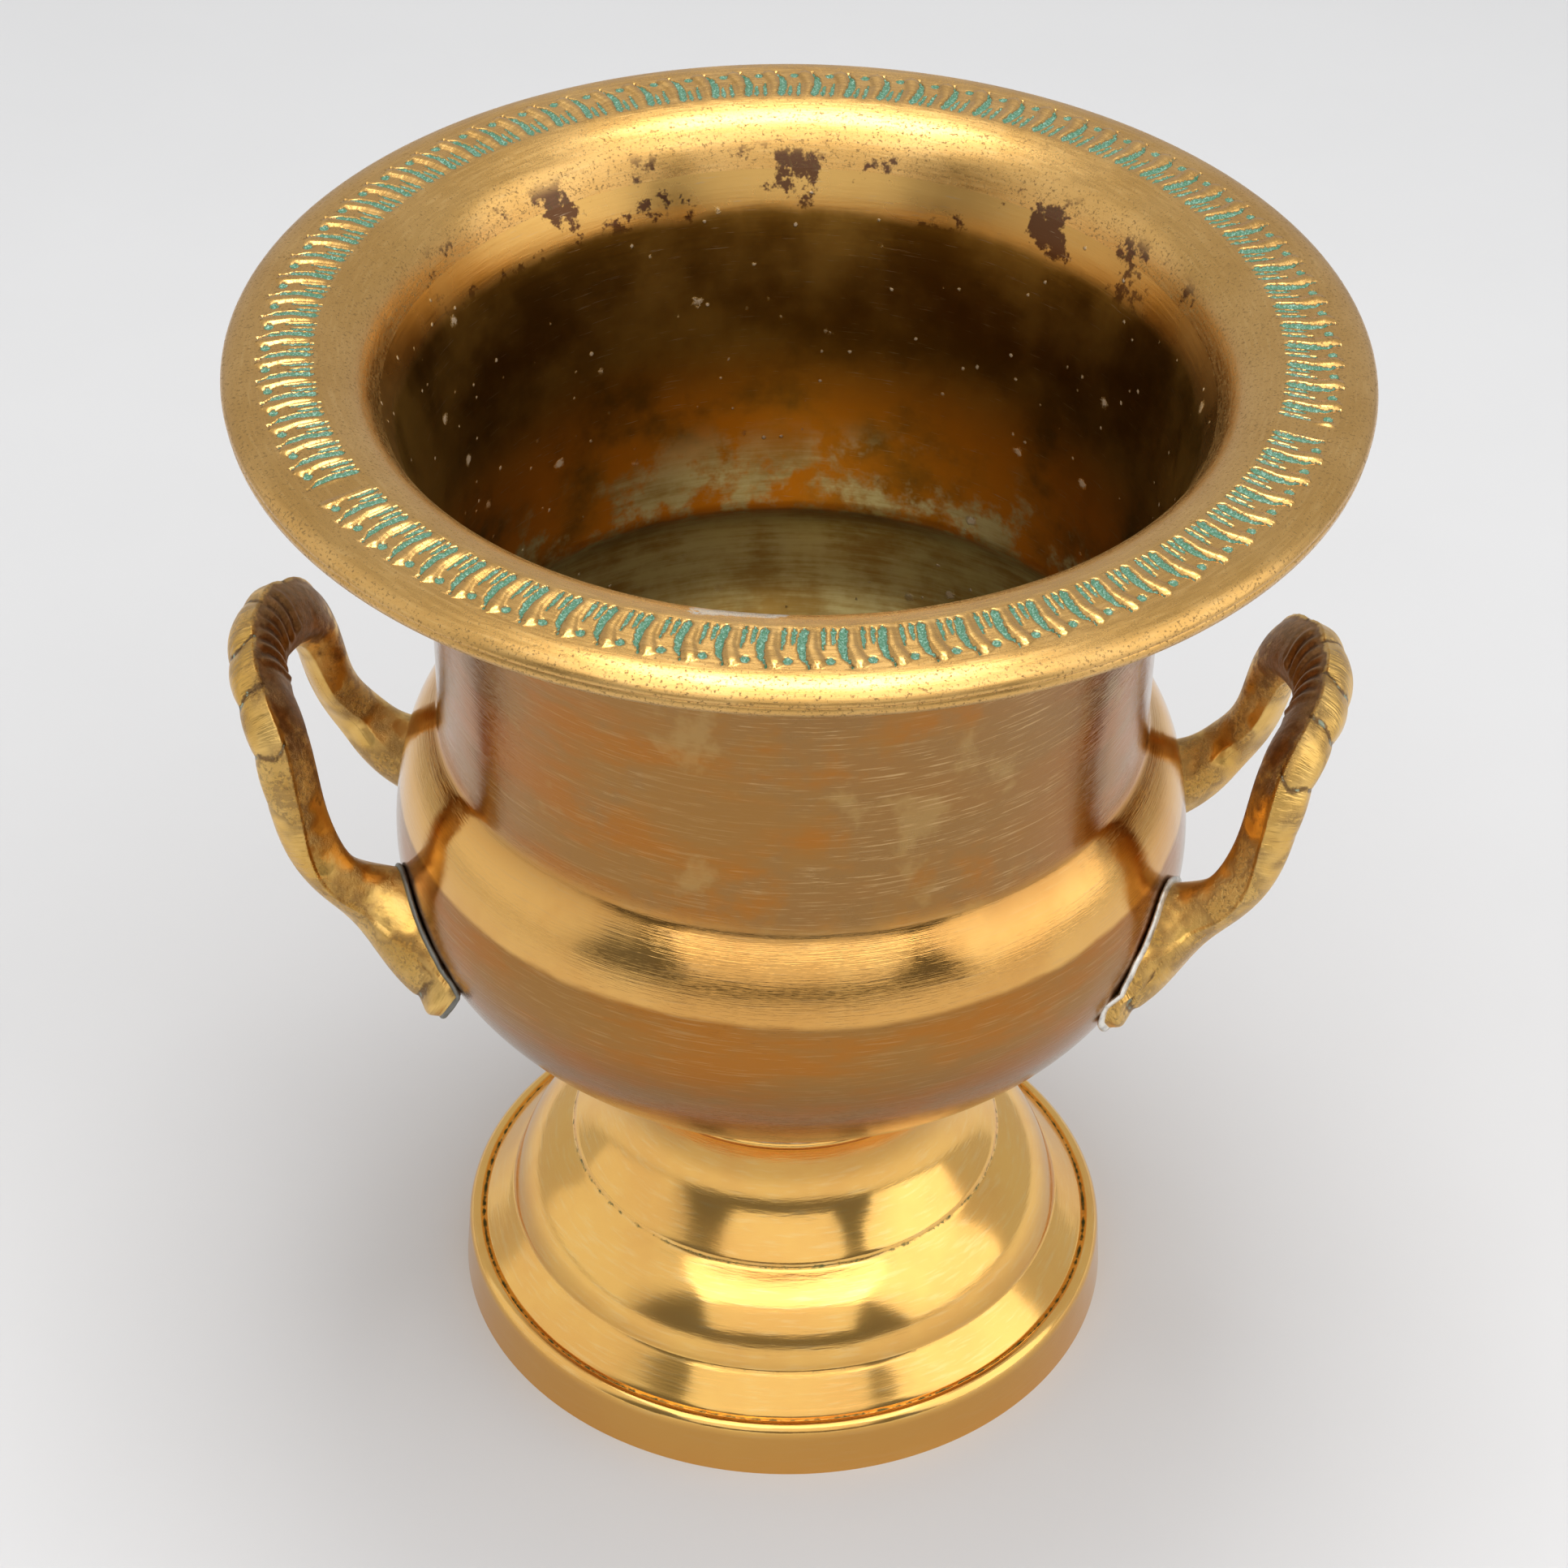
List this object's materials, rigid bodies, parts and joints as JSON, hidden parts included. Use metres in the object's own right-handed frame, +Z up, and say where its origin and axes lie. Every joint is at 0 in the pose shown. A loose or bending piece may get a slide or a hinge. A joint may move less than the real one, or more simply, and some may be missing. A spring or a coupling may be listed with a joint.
{
  "type": "brass planter pot",
  "caption": "Flared urn-shaped brass planter with a gadrooned rim, a pedestal foot and two upswept loop handles soldered to its belly.",
  "frame": {"origin": "centre of the circle that the foot stands on", "axes": "+Z up out of the mouth, +X towards the right handle, +Y away from the viewer"},
  "size_m": [0.2279, 0.221, 0.2403],
  "materials": {
    "tarnished_brass": "spun sheet brass, tarnished orange-brown, brushed and rubbed in patches",
    "rim_brass": "spun sheet brass, worn satin, with green verdigris in the stamped gadroons",
    "polished_brass": "spun sheet brass, softly polished, dark residue in the grooves",
    "cast_brass": "cast brass, filed facets with rough, darker recesses",
    "solder": "dull grey soft solder with a little green at its edge"
  },
  "bodies": {
    "root": {"bowl": "tarnished_brass", "rim_flange": "rim_brass", "rim_solder_ring": "solder", "foot": "polished_brass", "foot_solder_ring": "solder", "handle_left": "cast_brass", "handle_left_front_solder": "solder", "handle_left_back_solder": "solder", "handle_right": "cast_brass", "handle_right_front_solder": "solder", "handle_right_back_solder": "solder"}
  },
  "joints": []
}
